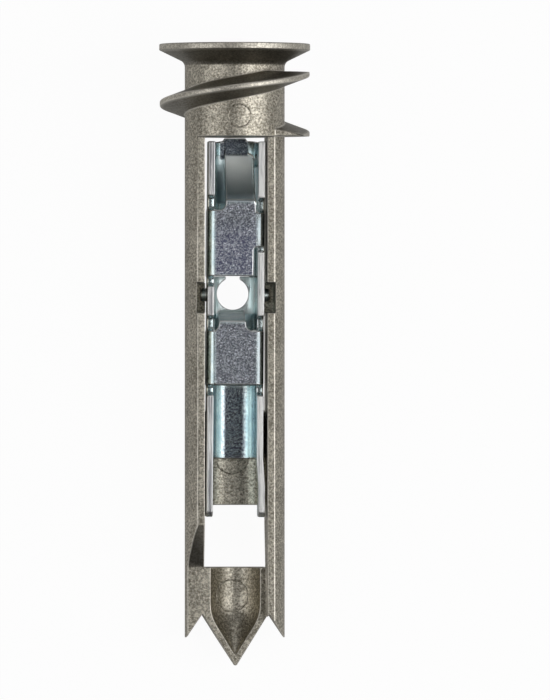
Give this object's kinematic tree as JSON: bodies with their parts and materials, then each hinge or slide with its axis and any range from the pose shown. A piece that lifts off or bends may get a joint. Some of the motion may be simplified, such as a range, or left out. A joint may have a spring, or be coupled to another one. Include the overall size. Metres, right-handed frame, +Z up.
{
  "type": "toggle anchor",
  "caption": "Self-drilling toggle anchor: cast body with a wide flange, coarse flight, long slot and toothed nose, and a stamped bar that swings out of the slot.",
  "frame": {"origin": "on the floor under the middle of the part's bounding box, as it lies on its rear side", "axes": "+Y along the part towards its head (which lies raised by about 5 degrees), +Z up out of the slot's open front, +X to the right seen with the head up"},
  "size_m": [0.0186, 0.0768, 0.0192],
  "materials": {
    "cast_zinc": "matte as-cast zinc alloy, brown grey and slightly grainy",
    "plated_steel": "bright zinc plating with a blue and green tinge over stamped sheet"
  },
  "bodies": {
    "body": {"anchor_body": "cast_zinc"},
    "toggle": {"toggle_bar": "plated_steel"}
  },
  "joints": [
    {"name": "toggle_swing", "type": "hinge", "parent": "body", "child": "toggle", "pos_m": [0, 0.00695, 0.0073], "axis": [-1, 0.007, 0.0006], "range_deg": [0, 90]}
  ]
}
